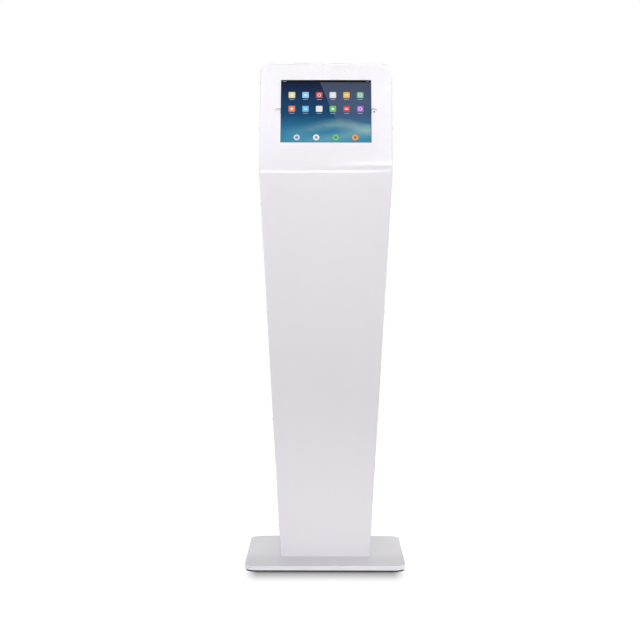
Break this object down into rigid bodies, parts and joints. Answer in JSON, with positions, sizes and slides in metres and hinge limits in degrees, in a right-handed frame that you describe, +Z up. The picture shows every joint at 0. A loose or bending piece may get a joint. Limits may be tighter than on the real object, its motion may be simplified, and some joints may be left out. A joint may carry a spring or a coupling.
{
  "type": "tablet kiosk stand",
  "caption": "Floor-standing tablet kiosk: tapered white steel column that folds back into a leaning head with a screen window, lockable rear door and flat base plate.",
  "frame": {"origin": "on the floor under the middle of the base", "axes": "+Z up, the front with the screen faces -Y, +X to the viewer's right"},
  "size_m": [0.356, 0.356, 1.1326],
  "materials": {
    "white_coat": "gloss white powder coat",
    "black_rubber": "matt",
    "zinc_steel": "bright zinc plate",
    "hinge_steel": "brushed",
    "lock_chrome": "polished",
    "black_plastic": "fine grain",
    "black_foam": "closed-cell foam",
    "tablet_aluminium": "bead blasted",
    "white_glass": "back-painted glass",
    "display_glass": "lit display",
    "lens_glass": "dark lens",
    "battery_wrap": "foil wrap",
    "board_green": "solder mask"
  },
  "bodies": {
    "frame": {"floor_mat": "black_rubber", "base_plate": "white_coat", "base_cover": "white_coat", "base_bolts": "zinc_steel", "foot_plate": "zinc_steel", "right_channel": "white_coat", "left_channel": "white_coat", "top_channel": "white_coat", "cross_rail": "white_coat", "front_panel": "white_coat", "panel_screws": "zinc_steel", "column_back": "white_coat", "back_screws": "zinc_steel", "cable_grommet": "black_rubber", "hinge_frame_leaf": "hinge_steel", "hinge_pin": "hinge_steel", "hinge_frame_rivets": "hinge_steel", "cradle": "black_plastic", "cradle_pads": "black_foam", "cradle_standoffs": "zinc_steel", "cradle_screws": "zinc_steel", "window_gasket": "black_foam", "tablet_case": "tablet_aluminium", "tablet_glass": "white_glass", "tablet_display": "display_glass", "tablet_battery": "battery_wrap", "tablet_board": "board_green", "camera_lens": "lens_glass"},
    "door": {"tablet_door": "white_coat", "hinge_door_leaf": "hinge_steel", "hinge_door_rivets": "hinge_steel", "lock_barrel": "lock_chrome", "lock_nut": "zinc_steel"},
    "lock": {"lock_plug": "lock_chrome", "lock_cam": "zinc_steel", "lock_cam_screw": "zinc_steel"},
    "home_key": {"home_button": "white_glass"},
    "power_key": {"power_button": "tablet_aluminium"},
    "volume_key": {"volume_rocker": "tablet_aluminium"}
  },
  "joints": [
    {"name": "door_hinge", "type": "hinge", "parent": "frame", "child": "door", "pos_m": [0, -0.01359, 0.8995], "axis": [-1, 0, 0], "range_deg": [0, 150]},
    {"name": "lock_turn", "type": "hinge", "parent": "door", "child": "lock", "pos_m": [0, 0.04705, 1.08729], "axis": [0, 0.9455, -0.3256], "range_deg": [0, 90]},
    {"name": "home_press", "type": "slide", "parent": "frame", "child": "home_key", "axis": [0, 0.9455, -0.3256], "range_m": [0, 0.0005], "stiffness_N_per_m": 400},
    {"name": "power_press", "type": "slide", "parent": "frame", "child": "power_key", "axis": [-1, 0, 0], "range_m": [0, 0.0003], "stiffness_N_per_m": 400},
    {"name": "volume_rock", "type": "hinge", "parent": "frame", "child": "volume_key", "pos_m": [0.075, -0.04924, 0.93896], "axis": [0, 0.9455, -0.3256], "range_deg": [-1.5, 1.5], "stiffness_Nm_per_rad": 0.3}
  ]
}
